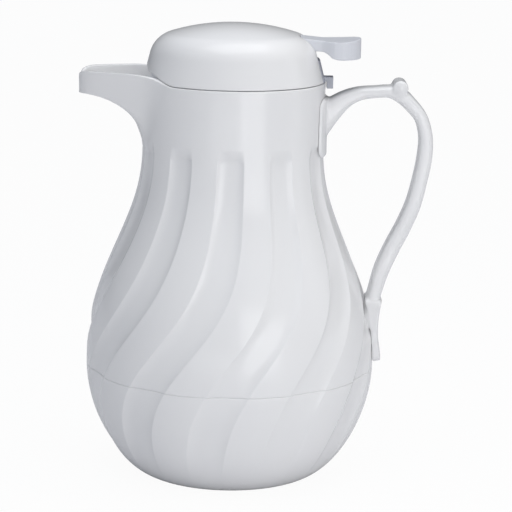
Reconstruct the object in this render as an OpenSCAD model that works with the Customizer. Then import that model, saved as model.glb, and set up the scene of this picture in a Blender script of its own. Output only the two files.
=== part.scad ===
// Insulated pouring server: fluted double-walled body, beak spout, loop handle,
// and a lift-off lid whose thumb lever raises a spring-loaded valve.
// Origin: centre of the foot. +Z up, spout towards -X, handle towards +X. Millimetres.

/* [Body] */
// Radius of the flat foot
foot_r = 50; // [47:0.5:53]
// Largest radius, over the panels between the flutes
belly_r = 85.3; // [83:0.1:88]
// Height of the largest radius
belly_z = 64; // [60:1:68]
// Height of the joint between lower bowl and upper shell
seam_z = 65; // [62:1:70]
// Radius of the neck where the shoulder ends
neck_r = 52.9; // [52.5:0.1:54]
// Height of the straight neck, from the end of the shoulder to the rim
neck_h = 33.6; // [30:0.2:38]
// Outer radius of the rim
rim_r = 53.4; // [53:0.1:55]
// Height of the rim
rim_z = 233.6; // [232:0.2:238]
// Wall of the outer shells
shell_wall = 2; // [1.8:0.1:2.4]
// Depth of the recess inside the foot ring
foot_recess = 1.5; // [1:0.1:2]
// Width of the ring that the server stands on
foot_ring_w = 8; // [6:0.5:12]
// Height of the bowl's tongue inside the upper shell
tongue_h = 6; // [4:0.5:8]

/* [Flutes] */
// Number of twisted flutes
flute_count = 11; // [9:1:13]
// Depth of a flute at its middle
flute_depth = 2.2; // [1.6:0.1:2.6]
// Half the angle that a flute covers
flute_half_angle = 8.2; // [6:0.2:9]
// Angle that a flute turns through altogether
flute_twist = 44; // [34:1:54]
// Height where the flutes turn fastest
flute_turn_z = 87; // [80:1:94]
// Length over which the turning builds up and dies away
flute_turn_l = 21; // [16:0.5:26]
// Angle of one flute's top from the +X axis
flute_phase = -90.2; // [-100:0.1:-80]
// Distance of a flute's rounded top end below the rim
flute_top_drop = 36.4; // [33:0.2:40]
// Height over which the top end rounds off
flute_end_h = 5; // [4:0.5:10]
// Height where the flutes have faded out in the bowl
flute_low_z = 8; // [4:0.5:20]

/* [Spout] */
// Distance of the lip from the axis
spout_reach = 90; // [86:0.5:96]
// Distance below the rim where the spout's underside leaves the neck
spout_root_drop = 39.1; // [36:0.1:44]
// Distance of the lip's underside below the rim
spout_low_drop = 8.3; // [7:0.1:10]
// Width parameter of the two side walls at their top
spout_side_w = 48.4; // [44:0.2:52]
// How fast the side walls close towards the lip
spout_taper = 0.372; // [0.3:0.01:0.45]
// Inward lean of the side walls, per mm of height
spout_draft = 0.33; // [0.2:0.01:0.4]
// Height of the side walls above the rim
spout_rise = 5.4; // [4:0.1:7]
// Drop of the lip below the side walls
lip_dip = 3.6; // [2:0.1:4.5]
// Wall of the spout
spout_wall = 2.2; // [1.8:0.1:2.6]
// Radius of the spout's rounded nose corners
spout_nose_r = 12; // [10:0.5:14]
// Radius of the edge along the spout's underside
spout_edge_r = 3; // [2:0.2:4]
// Radius of the valley where the spout's sides leave the neck
spout_valley_r = 6; // [4:0.5:8]

/* [Liner and collar] */
// Thickness of the foam round the liner
foam_t = 9; // [7:0.5:11]
// Height of the liner's floor
liner_floor_z = 15; // [13:0.5:18]
// Wall of the liner
liner_wall = 1.8; // [1.4:0.1:2.2]
// Inner radius of the liner's neck
mouth_r = 31.5; // [30.5:0.1:32.5]
// Length of the liner's straight mouth
mouth_l = 36; // [34:0.5:40]
// Height over which the liner draws in to its mouth
liner_shoulder_h = 38; // [34:0.5:44]
// Depth of the gallery floor round the mouth, below the rim
gallery_drop = 14.1; // [13:0.1:15.5]
// Depth of the mouth flange that carries the stopper, below the rim
mouth_drop = 9.6; // [9.2:0.1:10]
// Width of the mouth flange
mouth_flange_w = 5; // [4:0.2:6]
// Thickness of the mouth flange
mouth_flange_t = 1.7; // [1.4:0.1:2]
// Thickness of the gasket under the flange
neck_gasket_t = 0.8; // [0.6:0.1:1]
// Depth of the collar's outer skirt
collar_skirt_h = 2; // [1.5:0.1:2.6]
// Thickness of the collar
collar_t = 2; // [1.6:0.1:2.4]
// Length of the collar's sleeve round the liner, below the gallery floor
collar_sleeve_l = 14.5; // [12:0.5:18]
// Radius of the foam filling hole
fill_hole_r = 9; // [7:0.5:11]
// Thickness of the filling plug's head
plug_head_t = 1; // [0.8:0.1:1.2]

/* [Handle] */
// Width of the grip across the pot
grip_w = 18; // [16:0.5:20]
// Thickness of the grip
grip_t = 9; // [8:0.2:10]
// Farthest reach of the grip from the axis
grip_reach = 116.6; // [112:0.5:122]
// Distance of the grip's highest point below the rim
grip_drop = 4.9; // [4:0.1:8]
// Distance of the grip's lower end above the seam
grip_foot_rise = 23; // [20:0.5:26]
// Radius of the thumb rest across the grip
thumb_rest_r = 4.5; // [4:0.1:5]
// Distance of the thumb rest inside the grip's farthest reach
thumb_rest_inset = 20; // [18:0.5:22]
// Height of the thumb rest's middle over the grip's highest middle
thumb_rest_rise = 2.7; // [2:0.1:3]
// Half the angle that the neck plate covers
neck_plate_angle = 22; // [16:1:26]
// Height of the neck plate
neck_plate_h = 35; // [32:0.5:38]
// Distance of the neck plate's upper end below the rim
neck_plate_drop = 8.1; // [7:0.1:10]
// Thickness of the neck plate
neck_plate_t = 1.9; // [1.5:0.1:2.2]
// Distance of the foot plate's lower end above the seam
foot_plate_rise = 3.3; // [2.5:0.1:5]
// Height of the foot plate
foot_plate_h = 37.7; // [35:0.1:42]
// Width of the foot plate
foot_plate_w = 24; // [20:0.5:28]
// Thickness of the foot plate
foot_plate_t = 3.8; // [3:0.1:4.5]
// Radius of the handle screws
handle_screw_r = 1.8; // [1.5:0.1:2.1]
// Radius of the handle screws' heads
handle_screw_head_r = 3.6; // [3:0.1:4]
// Distance of the two upper handle screws below the neck plate's upper end
neck_screw_drop = 13; // [12.5:0.1:14]
// Half the distance between the two upper handle screws
handle_screw_half_gap = 4.6; // [4:0.1:5]
// Distance of the lower handle screw below the foot plate's upper end
foot_screw_drop = 8; // [7:0.5:10]

/* [Lid] */
// How far the dome's edge stands inside the rim
dome_inset = 0.4; // [0.3:0.1:0.8]
// Gap between the rim and the dome
dome_gap = 0.4; // [0.3:0.05:0.6]
// Inward lean of the dome's side, in degrees
dome_lean = 14.6; // [12:0.2:17]
// Radius of the dome's shoulder
dome_shoulder_r = 17; // [14:0.5:19]
// Radius of the dome's crown
dome_crown_r = 126; // [110:1:140]
// Height of the dome above its lower edge
dome_h = 32.8; // [31:0.2:35]
// Wall of the dome
dome_wall = 2.2; // [1.8:0.1:2.4]
// Height of the arch over the spout
arch_h = 9; // [7:0.5:10]
// Half the angle that the arch covers
arch_angle = 30; // [26:1:34]
// Thickness of the lid base's plate
plate_t = 2.2; // [1.8:0.1:2.4]
// Clearance of the plate inside the neck
plate_gap = 0.5; // [0.4:0.1:0.8]
// Height of the plate's underside above the mouth flange
plate_lift = 7; // [6.6:0.1:7.2]
// Gap between the upstand and the dome's wall
upstand_gap = 2.8; // [2.4:0.1:4]
// Wall of the upstand
upstand_t = 1.8; // [1.4:0.1:2]
// Height of the upstand above the plate
upstand_h = 3.6; // [3:0.2:4]
// Height of the splash wall behind the arch, above the plate
splash_h = 10.6; // [10:0.2:11]
// Radius of the circle of the dome's screws
dome_screw_ring_r = 38; // [37:0.5:39]
// Radius of the dome's screw posts
dome_post_r = 4; // [3.5:0.1:4.2]
// Radius of the lid's screws
lid_screw_r = 1.4; // [1.2:0.1:1.6]
// Radius of the lid's screw heads
lid_screw_head_r = 2.9; // [2.6:0.1:3.1]
// Height of the lid's screw heads
lid_screw_head_h = 1.8; // [1.5:0.1:2]
// Length of the lid's screws under the head
lid_screw_l = 12; // [10:0.5:13]

/* [Catch] */
// Half the width of the catch's strip
catch_half_w = 10.6; // [10:0.1:11]
// Length of the catch's foot on the lid base
catch_foot_l = 7; // [5:0.5:8]
// Height of the strip above the dome's lower edge
catch_h = 12.6; // [11.5:0.2:13]
// Half the width of the hooked lug
lug_half_w = 4.2; // [3.5:0.1:5]
// Reach of the lug beyond the rim
lug_reach = 4.2; // [3.8:0.1:5]
// Depth of the lug below the rim
lug_drop = 3.6; // [3:0.1:4.5]
// Thickness of the lug over the rim
lug_t = 2.7; // [2.2:0.1:3]
// Clearance between the lug and the rim
lug_gap = 0.45; // [0.4:0.05:0.6]

/* [Stopper] */
// Clearance of the stopper in the liner's mouth
stopper_gap = 0.6; // [0.5:0.1:0.8]
// Wall of the stopper
stopper_wall = 3; // [2.6:0.1:3.2]
// Depth of the stopper below the mouth flange
stopper_depth = 25; // [24:0.5:26]
// Thickness of the stopper's floor
stopper_floor_t = 2.2; // [1.8:0.1:2.6]
// Thickness of the stopper's own flange
stopper_flange_t = 2; // [1.6:0.1:2.2]
// Radius of the port in the stopper's floor
port_r = 10.5; // [9.5:0.1:11]
// Height of the stopper's gasket
gasket_h = 3; // [2.5:0.1:3.5]
// Depth of the gasket's groove
gasket_groove = 1.1; // [0.8:0.1:1.3]
// Clearance of the gasket in the mouth
gasket_gap = 0.12; // [0.1:0.01:0.2]
// Radius of the circle of the stopper's screws
stopper_screw_ring_r = 24; // [23.5:0.1:24.2]
// Radius of the stopper's screw bosses
stopper_boss_r = 4; // [3.6:0.1:4.2]
// Height of the stopper's side windows
window_h = 4.2; // [3.8:0.1:4.4]

/* [Valve] */
// Radius of the stem
stem_r = 3; // [2.8:0.1:3.2]
// Running clearance of the stem and of the lever's pin
running_gap = 0.05; // [0.03:0.01:0.08]
// Radius of the valve disc
disc_r = 15.5; // [14.5:0.1:16]
// Thickness of the valve disc
disc_t = 2.8; // [2.4:0.1:3.2]
// Radius of the disc's hub
disc_hub_r = 5.5; // [5:0.1:6]
// Height of the disc's hub
disc_hub_h = 3.4; // [3:0.1:4]
// Thickness of the valve's seal
seal_t = 1.5; // [1.2:0.1:1.8]
// Gap left under the closed seal
seal_gap = 0.1; // [0.05:0.05:0.2]
// Radius of the spring to the middle of its wire
spring_r = 6.2; // [5.8:0.1:6.6]
// Radius of the spring's wire
spring_wire_r = 0.6; // [0.5:0.05:0.7]
// Turns of the spring
spring_turns = 6; // [5:0.5:7]
// Outer radius of the stem's bush
bush_r = 6; // [5.6:0.1:6.4]
// Length of the bush
bush_h = 9; // [8:0.5:10]
// Radius of the bush's flange
bush_flange_r = 8; // [7.5:0.1:8.5]
// Thickness of the bush's flange
bush_flange_t = 1.4; // [1.2:0.1:1.6]
// Radius of the cap on the stem
cap_r = 6; // [5.5:0.1:6.5]
// Thickness of the cap
cap_t = 3; // [2.6:0.1:3.4]
// Half the width of the nut under the disc, across its corners
nut_r = 5; // [4.6:0.1:5.4]
// Thickness of the nut
nut_t = 2.4; // [2:0.1:2.8]

/* [Lever] */
// Distance of the pivot from the stem
pivot_x = 28; // [27:0.5:29]
// Height of the pivot above the lid base
pivot_lift = 16.8; // [16:0.1:17.2]
// Radius of the pivot pin
pin_r = 2; // [1.8:0.1:2.2]
// Half the length of the pivot pin
pin_half_l = 18.2; // [18:0.1:19]
// Radius of the lever's hub
hub_r = 4.8; // [4.4:0.1:5]
// Half the width of the lever's hub
hub_half_w = 13.4; // [13:0.1:13.6]
// Thickness of each ear that holds the pin
ear_t = 3.4; // [3:0.1:3.8]
// Gap between the hub and each ear
ear_gap = 0.3; // [0.25:0.05:0.4]
// Half the width of the lever where it leaves the dome
tail_half_w = 11; // [10.4:0.1:11.2]
// Clearance of the lever and the catch in the dome's slot
slot_gap = 0.6; // [0.5:0.1:0.8]
// Where the slot begins, from the axis
slot_x = 37.5; // [37:0.1:38]
// Half the width of the thumb pad
pad_half_w = 16; // [14:0.2:17]
// Reach of the thumb pad from the axis
pad_reach = 73.4; // [71:0.2:76]
// Where the thumb pad has its full width
pad_x = 58; // [56:0.5:60]
// Height of the lever's upper face over the pivot
lever_rise = 9.5; // [9:0.1:9.8]
// Length over which the lever's underside curves down to the pad's skirt
pad_curve_l = 10.5; // [9:0.5:11]
// Dip of the thumb pad's upper face
pad_dip = 1.5; // [1:0.1:2]
// Thickness of the lever where it leaves the dome
tail_t = 7.2; // [6.4:0.1:7.4]
// Depth of the thumb pad's skirt
pad_t = 11.8; // [11:0.1:12.5]
// Wall of the thumb pad
pad_wall = 2.4; // [2:0.1:3]
// Half the width of the lever's front arm
arm_half_w = 7.4; // [7:0.1:8]
// Height of the front arm
arm_h = 5; // [4.4:0.1:5.4]
// Clearance of the stem in the arm's fork
fork_gap = 0.45; // [0.4:0.05:0.6]
// Radius of the fork's rounded end
fork_r = 4; // [3.8:0.1:4.2]
// Gap between the fork and the stem's cap
cap_gap = 0.1; // [0.05:0.05:0.2]

/* [Hidden] */
$fn = 64;

fit = 0.03;            // clearance of pieces that are pressed or glued together
cut = 1;               // how far a cut runs past the face it opens
white = "#f2f2f2";
pale = "#e4e6ea";
steel = "#c4c6c8";
rubber = "#4a4c50";

// ---- heights that follow from the rim, the seam and the plate ----
neck_z = rim_z - neck_h;
flute_top_z = rim_z - flute_top_drop;
spout_root_z = rim_z - spout_root_drop;
spout_low_z = rim_z - spout_low_drop;
gallery_z = rim_z - gallery_drop;
mouth_top_z = rim_z - mouth_drop;
mouth_low_z = mouth_top_z - mouth_l;
grip_top_z = rim_z - grip_drop;
grip_foot_z = seam_z + grip_foot_rise;
neck_plate_top_z = rim_z - neck_plate_drop;
neck_plate_low_z = neck_plate_top_z - neck_plate_h;
foot_plate_low_z = seam_z + foot_plate_rise;
foot_plate_top_z = foot_plate_low_z + foot_plate_h;
handle_screw_top_z = neck_plate_top_z - neck_screw_drop;
handle_screw_low_z = foot_plate_top_z - foot_screw_drop;

// ---- curves ----
function step01(t) = let(u = min(max(t, 0), 1)) u * u * (3 - 2 * u);
function smin(a, b, k) = let(h = max(k - abs(a - b), 0) / k) min(a, b) - h * h * k / 4;
function smax(a, b, k) = -smin(-a, -b, k);
function wrap(a, p) = a - p * round(a / p);
function polar(r, a) = [r * cos(a), r * sin(a)];

// outline of the body over its panels: a full bowl, an S-shaped shoulder, a slightly flared neck
function body_r(z) =
    z <= belly_z ? foot_r + (belly_r - foot_r) * pow(1 - pow(1 - max(z, 0) / belly_z, 1.75), 1 / 1.55)
    : z < neck_z ? belly_r
        - (belly_r - neck_r) * (1 - pow(1 - pow((z - belly_z) / (neck_z - belly_z), 2.4), 3))
    : neck_r + (rim_r - neck_r) * pow((z - neck_z) / (rim_z - neck_z), 2);

// ---- flutes ----
flute_pitch = 360 / flute_count;
function flute_turn(z) = flute_twist / (1 + exp((z - flute_turn_z) / flute_turn_l));
function flute_end(z) = sqrt(1 - pow(min(max(z - flute_top_z + flute_end_h, 0) / flute_end_h, 1), 2));
function flute_fade(z) = flute_end(z) * step01((z - flute_low_z) / 30);
function flute_cut(a, z) =
    let(u = wrap(a - flute_phase, flute_pitch) / (flute_half_angle * max(flute_end(z), 0.01)))
    flute_depth * flute_fade(z) * max(1 - pow(abs(u), 3), 0);
// angles of one flute's columns, from its middle
flute_cols = [-1.5, -1, -0.62, 0, 0.62, 1, 1.5];
function column(i) =
    let(n = len(flute_cols) + 1, k = floor(i / n), j = i % n)
    flute_phase + k * flute_pitch + (j < n - 1 ? flute_cols[j] * flute_half_angle : flute_pitch / 2);
column_count = flute_count * (len(flute_cols) + 1);

// ---- spout ----
spout_h = spout_low_z - spout_root_z;
function keel_z(r) =
    spout_root_z + spout_h * sqrt(max(1 - pow((spout_reach - r) / (spout_reach - neck_r), 2), 0));
function keel_r(z) =
    let(t = max((z - spout_root_z) / spout_h, 0))
    t >= 1 ? 2 * spout_reach : spout_reach - (spout_reach - neck_r) * sqrt(1 - t * t);
spout_top_z = rim_z + spout_rise;
// distance of the spout's wall from the axis, at angle s from the spout's middle, with wall w taken off
function side_r(s, z, w) =
    (spout_side_w - w * 1.07 - spout_draft * max(spout_top_z - z, 0)) / (sin(abs(s)) + spout_taper * cos(s));
function spout_r(s, z, w) =
    abs(s) > 75 ? 0 : smin(smin(side_r(s, z, w), spout_reach - w, spout_nose_r), keel_r(z - w), spout_edge_r);
// the rim rises towards the spout between these angles from its middle, and dips at the lip
rise_a = 52;
rise_span = 30;
lip_a = 11;
function top_z(s) =
    rim_z + spout_rise * step01((rise_a - abs(s)) / rise_span) - lip_dip * (1 - step01(abs(s) / lip_a));
function shell_r(a, z) =
    z <= spout_root_z ? body_r(z)
    : smax(body_r(min(z, rim_z)), spout_r(wrap(a - 180, 360), z, 0),
        spout_valley_r * step01((z - spout_root_z) / (2 * spout_valley_r)) + 0.01);

// ---- outer surface of the body as rings of points ----
body_rows = concat([for (i = [0:13]) seam_z + (flute_top_z - flute_end_h - seam_z) * i / 13],
    [for (u = [0.55, 0.2, 0]) flute_top_z - flute_end_h * u]);
keel_rows = [for (u = [0, 0.03, 0.11, 0.22, 0.35, 0.51, 0.7, 0.89, 0.99])
    let(z = keel_z(neck_r + (spout_reach - neck_r) * u)) if (z > flute_top_z + 0.5) z];
function ring(z, up) =
    [for (i = [0:column_count - 1])
        let(a0 = column(i), a = a0 - flute_turn(z), s = wrap(a - 180, 360),
            zz = up < 0 ? z : z + (top_z(s) - z) * up)
        concat(polar(shell_r(a, zz) - (zz < flute_top_z ? flute_cut(a0, zz) : 0), a), [zz])];
function loft_faces(rows, n) = concat(
    [for (j = [0:rows - 2], i = [0:n - 1]) let(k = (i + 1) % n)
        each [[j * n + i, (j + 1) * n + i, (j + 1) * n + k], [j * n + i, (j + 1) * n + k, j * n + k]]],
    [[for (i = [0:n - 1]) i]],
    [for (i = [0:n - 1]) [(rows - 1) * n + i, rows * n, (rows - 1) * n + (i + 1) % n]]);

module lofted(rings, top) {
    n = len(rings[0]);
    polyhedron([for (r = rings) each r, top], loft_faces(len(rings), n), convexity = 8);
}

// ---- small helpers ----
function zs(a, b, n) = [for (i = [0:n]) a + (b - a) * i / n];
module spun(points) { rotate_extrude($fn = 200) polygon(points); }
module sector(a0, a1, points) { rotate([0, 0, a0]) rotate_extrude(angle = a1 - a0) polygon(points); }
module tube(r_out, r_in, z0, z1) {
    difference() {
        translate([0, 0, z0]) cylinder(r = r_out, h = z1 - z0);
        translate([0, 0, z0 - cut]) cylinder(r = r_in, h = z1 - z0 + 2 * cut);
    }
}
module rod_x(x0, x1, y, z, r) { translate([x0, y, z]) rotate([0, 90, 0]) cylinder(r = r, h = x1 - x0); }
module rod_y(y0, y1, x, z, r) { translate([x, y0, z]) rotate([-90, 0, 0]) cylinder(r = r, h = y1 - y0); }
module block(x, y, z) { translate([x[0], y[0], z[0]]) cube([x[1] - x[0], y[1] - y[0], z[1] - z[0]]); }

// ---- outer shells ----
function inner_r(z) = body_r(min(z, rim_z)) - shell_wall - flute_depth * flute_fade(z);
// heights at which the inside wall is drawn, closer together where the flutes end
function wall_rows(z0, z1) =
    [for (z = concat(zs(seam_z, flute_top_z - flute_end_h, 8),
        zs(flute_top_z - flute_end_h / 2, flute_top_z, 1),
        zs(flute_top_z + 4, rim_z, 2))) if (z > z0 && z < z1) z];
wall_table = [for (z = wall_rows(seam_z - cut, rim_z + cut)) [z, inner_r(z)]];
function wall_r(z) = lookup(z, wall_table);
bowl_floor_z = foot_recess + shell_wall;
tongue_t = 1.6;
tongue_gap = 0.15;
tongue_r = wall_r(seam_z + tongue_h) - tongue_gap;
screw_hole_gap = 0.15;

module lower_bowl() {
    color(white) difference() {
        union() {
            difference() {
                lofted([for (i = [0:10]) ring(seam_z * pow(i / 10, 1.6), -1)], [0, 0, seam_z]);
                spun(concat([[0, bowl_floor_z]], [for (z = zs(bowl_floor_z, seam_z, 14)) [inner_r(z), z]],
                    [[inner_r(seam_z), seam_z + cut], [0, seam_z + cut]]));
            }
            tongue();
        }
        translate([0, 0, -cut]) cylinder(r = foot_r - foot_ring_w, h = foot_recess + cut);
        cylinder(r = fill_hole_r, h = bowl_floor_z + cut);
    }
}
module tongue() {
    spun([[tongue_r + 1, seam_z - tongue_h], [tongue_r + 1, seam_z - 0.5], [tongue_r, seam_z - 0.5],
        [tongue_r, seam_z + tongue_h], [tongue_r - tongue_t, seam_z + tongue_h],
        [tongue_r - tongue_t, seam_z - tongue_h]]);
}

module upper_shell() {
    color(white) difference() {
        lofted(concat([for (z = body_rows) ring(z, -1)], [for (z = keel_rows) ring(z, -1)],
            [for (u = [0, 0.5, 1]) ring(spout_low_z + 0.2, u)]), [0, 0, rim_z]);
        spun(concat([[0, seam_z - cut], [inner_r(seam_z), seam_z - cut]],
            [for (p = wall_table) [p[1], p[0]]],
            [[inner_r(rim_z), spout_top_z + 8], [0, spout_top_z + 8]]));
        spout_channel();
        handle_screw_holes(screw_hole_gap);
    }
}
channel_angle = 44;
channel_rows = concat([gallery_z],
    [for (r = [0.76, 0.81, 0.86, 0.9, 0.94, 0.97]) keel_z(r * spout_reach) + spout_wall],
    [spout_low_z + spout_wall + 0.2, rim_z, spout_top_z + 5]);
module spout_channel() {
    lofted([for (z = channel_rows) concat([[-foot_r / 4, 0, z]],
        [for (s = [channel_angle:-4:-channel_angle])
            concat(polar(max(spout_r(s, z, spout_wall), foot_r * 0.82), 180 - s), [z])])],
        [-foot_r / 2, 0, spout_top_z + 5]);
}

// ---- collar, liner, foam ----
mouth_out_r = mouth_r + liner_wall;
flange_r = mouth_r + mouth_flange_w;
flange_low_z = mouth_top_z - mouth_flange_t;
collar_top_z = flange_low_z - neck_gasket_t;
collar_in_r = mouth_out_r + 0.2;
collar_low_z = gallery_z - collar_sleeve_l;
collar_gap = 0.1;

module neck_collar() {
    skirt_z = gallery_z - collar_skirt_h;
    color(white) spun([[collar_in_r, collar_low_z], [collar_in_r + collar_t, collar_low_z],
        [collar_in_r + collar_t, gallery_z - collar_t],
        [inner_r(gallery_z) - 2 * collar_t, gallery_z - collar_t],
        [inner_r(skirt_z) - collar_t, skirt_z - 0.6], [inner_r(skirt_z) - collar_gap, skirt_z - 0.6],
        [inner_r(gallery_z) - collar_gap, gallery_z], [flange_r + 0.5, collar_top_z],
        [collar_in_r, collar_top_z]]);
}
liner_inset = shell_wall + flute_depth + foam_t;
function liner_r(z) =
    z < belly_z ? body_r((z - liner_floor_z) * belly_z / (belly_z - liner_floor_z)) - liner_inset
    : let(t = step01((z - mouth_low_z) / liner_shoulder_h + 1))
        (body_r(z) - liner_inset) * (1 - t) + mouth_out_r * t;
liner_rows = concat(zs(0, 1, 8) * (belly_z - liner_floor_z) + [for (i = [0:8]) liner_floor_z],
    zs(belly_z + 8, mouth_low_z, 14));

module inner_liner() {
    color(pale) spun(concat([[0, liner_floor_z]], [for (z = liner_rows) [liner_r(z), z]],
        [[mouth_out_r, flange_low_z], [flange_r, flange_low_z],
         [flange_r, mouth_top_z], [mouth_r, mouth_top_z]],
        [for (i = [len(liner_rows) - 1:-1:1]) [liner_r(liner_rows[i]) - liner_wall, liner_rows[i]]],
        [[liner_r(liner_floor_z) - liner_wall, liner_floor_z + liner_wall],
         [0, liner_floor_z + liner_wall]]));
}
module neck_gasket() {
    color(rubber) tube(flange_r - 0.3, mouth_out_r + 0.2, collar_top_z, flange_low_z);
}
foam_gap = 0.2;
module foam_insulation() {
    zb = bowl_floor_z + foam_gap;
    zt = gallery_z - collar_skirt_h - 1;
    r_tongue = tongue_r - tongue_t - foam_gap;
    color("#efe2b0") difference() {
        spun(concat([[0, zb], [inner_r(zb) - foam_gap, zb]],
            [for (z = concat(zs(zb + 6, seam_z - tongue_h - 1, 7))) [inner_r(z) - foam_gap, z]],
            [[r_tongue, seam_z - tongue_h - 0.5], [r_tongue, seam_z + tongue_h + 0.5]],
            [for (z = wall_rows(seam_z + tongue_h + 1, zt - 0.5)) [inner_r(z) - foam_gap, z]],
            [[inner_r(zt) - foam_gap, zt], [collar_in_r + collar_t + foam_gap, zt],
             [collar_in_r + collar_t + foam_gap, collar_low_z - foam_gap],
             [mouth_out_r + foam_gap, collar_low_z - foam_gap], [mouth_out_r + foam_gap, mouth_low_z]],
            [for (i = [len(liner_rows) - 2:-1:0]) [liner_r(liner_rows[i]) + foam_gap, liner_rows[i]]],
            [[liner_r(liner_floor_z) + foam_gap, liner_floor_z - foam_gap], [0, liner_floor_z - foam_gap]]));
        handle_screw_pockets();
    }
}
module foam_fill_plug() {
    color(white) union() {
        translate([0, 0, foot_recess - plug_head_t]) cylinder(r = fill_hole_r + 1.5, h = plug_head_t);
        translate([0, 0, foot_recess - plug_head_t / 2])
            cylinder(r = fill_hole_r - fit, h = shell_wall + plug_head_t / 2);
    }
}

// ---- handle ----
// stations of the grip: share of the way from the body out to grip_reach, share of the
// height from foot to top, thickness and width as shares of grip_t and grip_w
grip_shares = [
    [-0.095, 0.853, 2.22, 1.11], [0.045, 0.912, 1.56, 1.08], [0.179, 0.962, 1.09, 1],
    [0.31, 0.988, 0.84, 0.94], [0.454, 0.997, 0.73, 0.94], [0.589, 1, 0.78, 1],
    [0.691, 0.985, 0.96, 1.06], [0.786, 0.948, 0.91, 1],
    [0.888, 0.891, 0.87, 1], [0.936, 0.81, 0.91, 1], [0.931, 0.725, 0.97, 1], [0.894, 0.633, 0.97, 1],
    [0.828, 0.529, 1, 1], [0.713, 0.434, 1.02, 1], [0.547, 0.341, 1.04, 1], [0.361, 0.249, 1, 1.06],
    [0.196, 0.163, 0.91, 1.11], [0.037, 0.078, 0.89, 1.17], [-0.128, 0, 0.67, 1.17]];
grip_path = [for (g = grip_shares) let(z = grip_foot_z + (grip_top_z - grip_foot_z) * g[1])
    [body_r(z) + (grip_reach - body_r(z)) * g[0], z, grip_t * g[2], grip_w * g[3]]];
function knot(i) = grip_path[min(max(i, 0), len(grip_path) - 1)];
function along(t) =
    let(i = min(floor(t), len(grip_path) - 2), u = t - i,
        a = knot(i - 1), b = knot(i), c = knot(i + 1), d = knot(i + 2))
    (2 * b + (c - a) * u + (2 * a - 5 * b + 4 * c - d) * u * u + (3 * b - a - 3 * c + d) * u * u * u) / 2;
grip_sides = 12;
grip_steps = 3;
function grip_ring(t) =
    let(p = along(t), q = along(t + 0.01) - along(t - 0.01), l = norm([q[0], q[1]]),
        nx = -q[1] / l, nz = q[0] / l)
    [for (k = [0:grip_sides - 1])
        let(w = 360 * (k + 0.5) / grip_sides,
            c = sign(cos(w)) * pow(abs(cos(w)), 0.55), s = sign(sin(w)) * pow(abs(sin(w)), 0.55))
        [p[0] + nx * p[2] / 2 * s, p[3] / 2 * c, p[1] + nz * p[2] / 2 * s]];
grip_last = grip_steps * (len(grip_path) - 1);
module grip() {
    n = grip_sides;
    rings = [for (j = [0:grip_last]) grip_ring(min(max(j / grip_steps, 0.02), len(grip_path) - 1.02))];
    polyhedron([for (r = rings) each r], concat(
        [for (j = [0:grip_last - 1], i = [0:n - 1]) let(k = (i + 1) % n)
            each [[j * n + i, (j + 1) * n + i, (j + 1) * n + k], [j * n + i, (j + 1) * n + k, j * n + k]]],
        [[for (i = [0:n - 1]) i]], [[for (i = [n - 1:-1:0]) grip_last * n + i]]), convexity = 8);
}
plate_corner_h = 4;
function plate_bulge(z) = sqrt(max(1 - pow(max(neck_plate_low_z + plate_corner_h - z,
    z - neck_plate_top_z + plate_corner_h, 0) / plate_corner_h, 2), 0));
module neck_plate() {
    rows = zs(neck_plate_low_z, neck_plate_top_z, 16);
    sector(-neck_plate_angle, neck_plate_angle, concat([for (z = rows) [body_r(z) + fit, z]],
        [for (i = [len(rows) - 2:-1:1])
            [body_r(rows[i]) + fit + neck_plate_t * plate_bulge(rows[i]), rows[i]]]));
}
// the foot plate thickens from foot_even_h upwards to meet the grip, and a little downwards
foot_even_h = 12;
foot_flare = 6.6;
foot_toe = 1.2;
function foot_bulge(z) =
    let(u = (z - foot_plate_low_z - foot_even_h) / (foot_plate_h - foot_even_h))
    foot_plate_t + foot_flare * pow(max(u, 0), 2)
        + foot_toe * max(foot_plate_low_z + foot_even_h - z, 0) / foot_even_h;
module foot_plate() {
    a = asin(foot_plate_w / 2 / belly_r);
    rows = zs(foot_plate_low_z, foot_plate_top_z, 12);
    sector(-a, a, concat([for (z = rows) [body_r(z) + fit, z]],
        [for (i = [12:-1:1]) [body_r(rows[i]) + fit + foot_bulge(rows[i]), rows[i]]],
        [[body_r(foot_plate_low_z) + fit + 1, foot_plate_low_z]]));
}
module handle_screw_axes(x0, x1, x2, x3, r) {
    for (y = [-1, 1]) rod_x(x0, x1, y * handle_screw_half_gap, handle_screw_top_z, r);
    rod_x(x2, x3, 0, handle_screw_low_z, r);
}
handle_screw_l = 7;
foot_screw_extra = 3;
screw_head_h = 2.4;
head_room = 0.4;
screw_bite = 3;
thumb_rest_half_w = grip_w / 2 + 2;
// the heads bear on the curved inside of the shell with their outer edges
function seat_x(z, half_w) =
    let(r = min(wall_r(z - handle_screw_head_r), wall_r(z + handle_screw_head_r)))
    sqrt(r * r - half_w * half_w) - fit;
screw_top_x = seat_x(handle_screw_top_z, handle_screw_half_gap + handle_screw_head_r);
screw_low_x = seat_x(handle_screw_low_z, handle_screw_head_r);
module handle_screw_holes(gap) {
    handle_screw_axes(screw_top_x - screw_bite, screw_top_x + handle_screw_l + cut, screw_low_x - screw_bite,
        screw_low_x + handle_screw_l + foot_screw_extra + cut, handle_screw_r + gap);
}
module handle_screw_pockets() {
    handle_screw_axes(screw_top_x - screw_head_h - head_room, screw_top_x + screw_bite,
        screw_low_x - screw_head_h - head_room, screw_low_x + screw_bite, handle_screw_head_r + head_room);
}
module handle_screws() {
    color(steel) union() {
        handle_screw_axes(screw_top_x - 0.01, screw_top_x + handle_screw_l, screw_low_x - 0.01,
            screw_low_x + handle_screw_l + foot_screw_extra, handle_screw_r);
        handle_screw_axes(screw_top_x - screw_head_h, screw_top_x, screw_low_x - screw_head_h, screw_low_x,
            handle_screw_head_r);
    }
}
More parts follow.
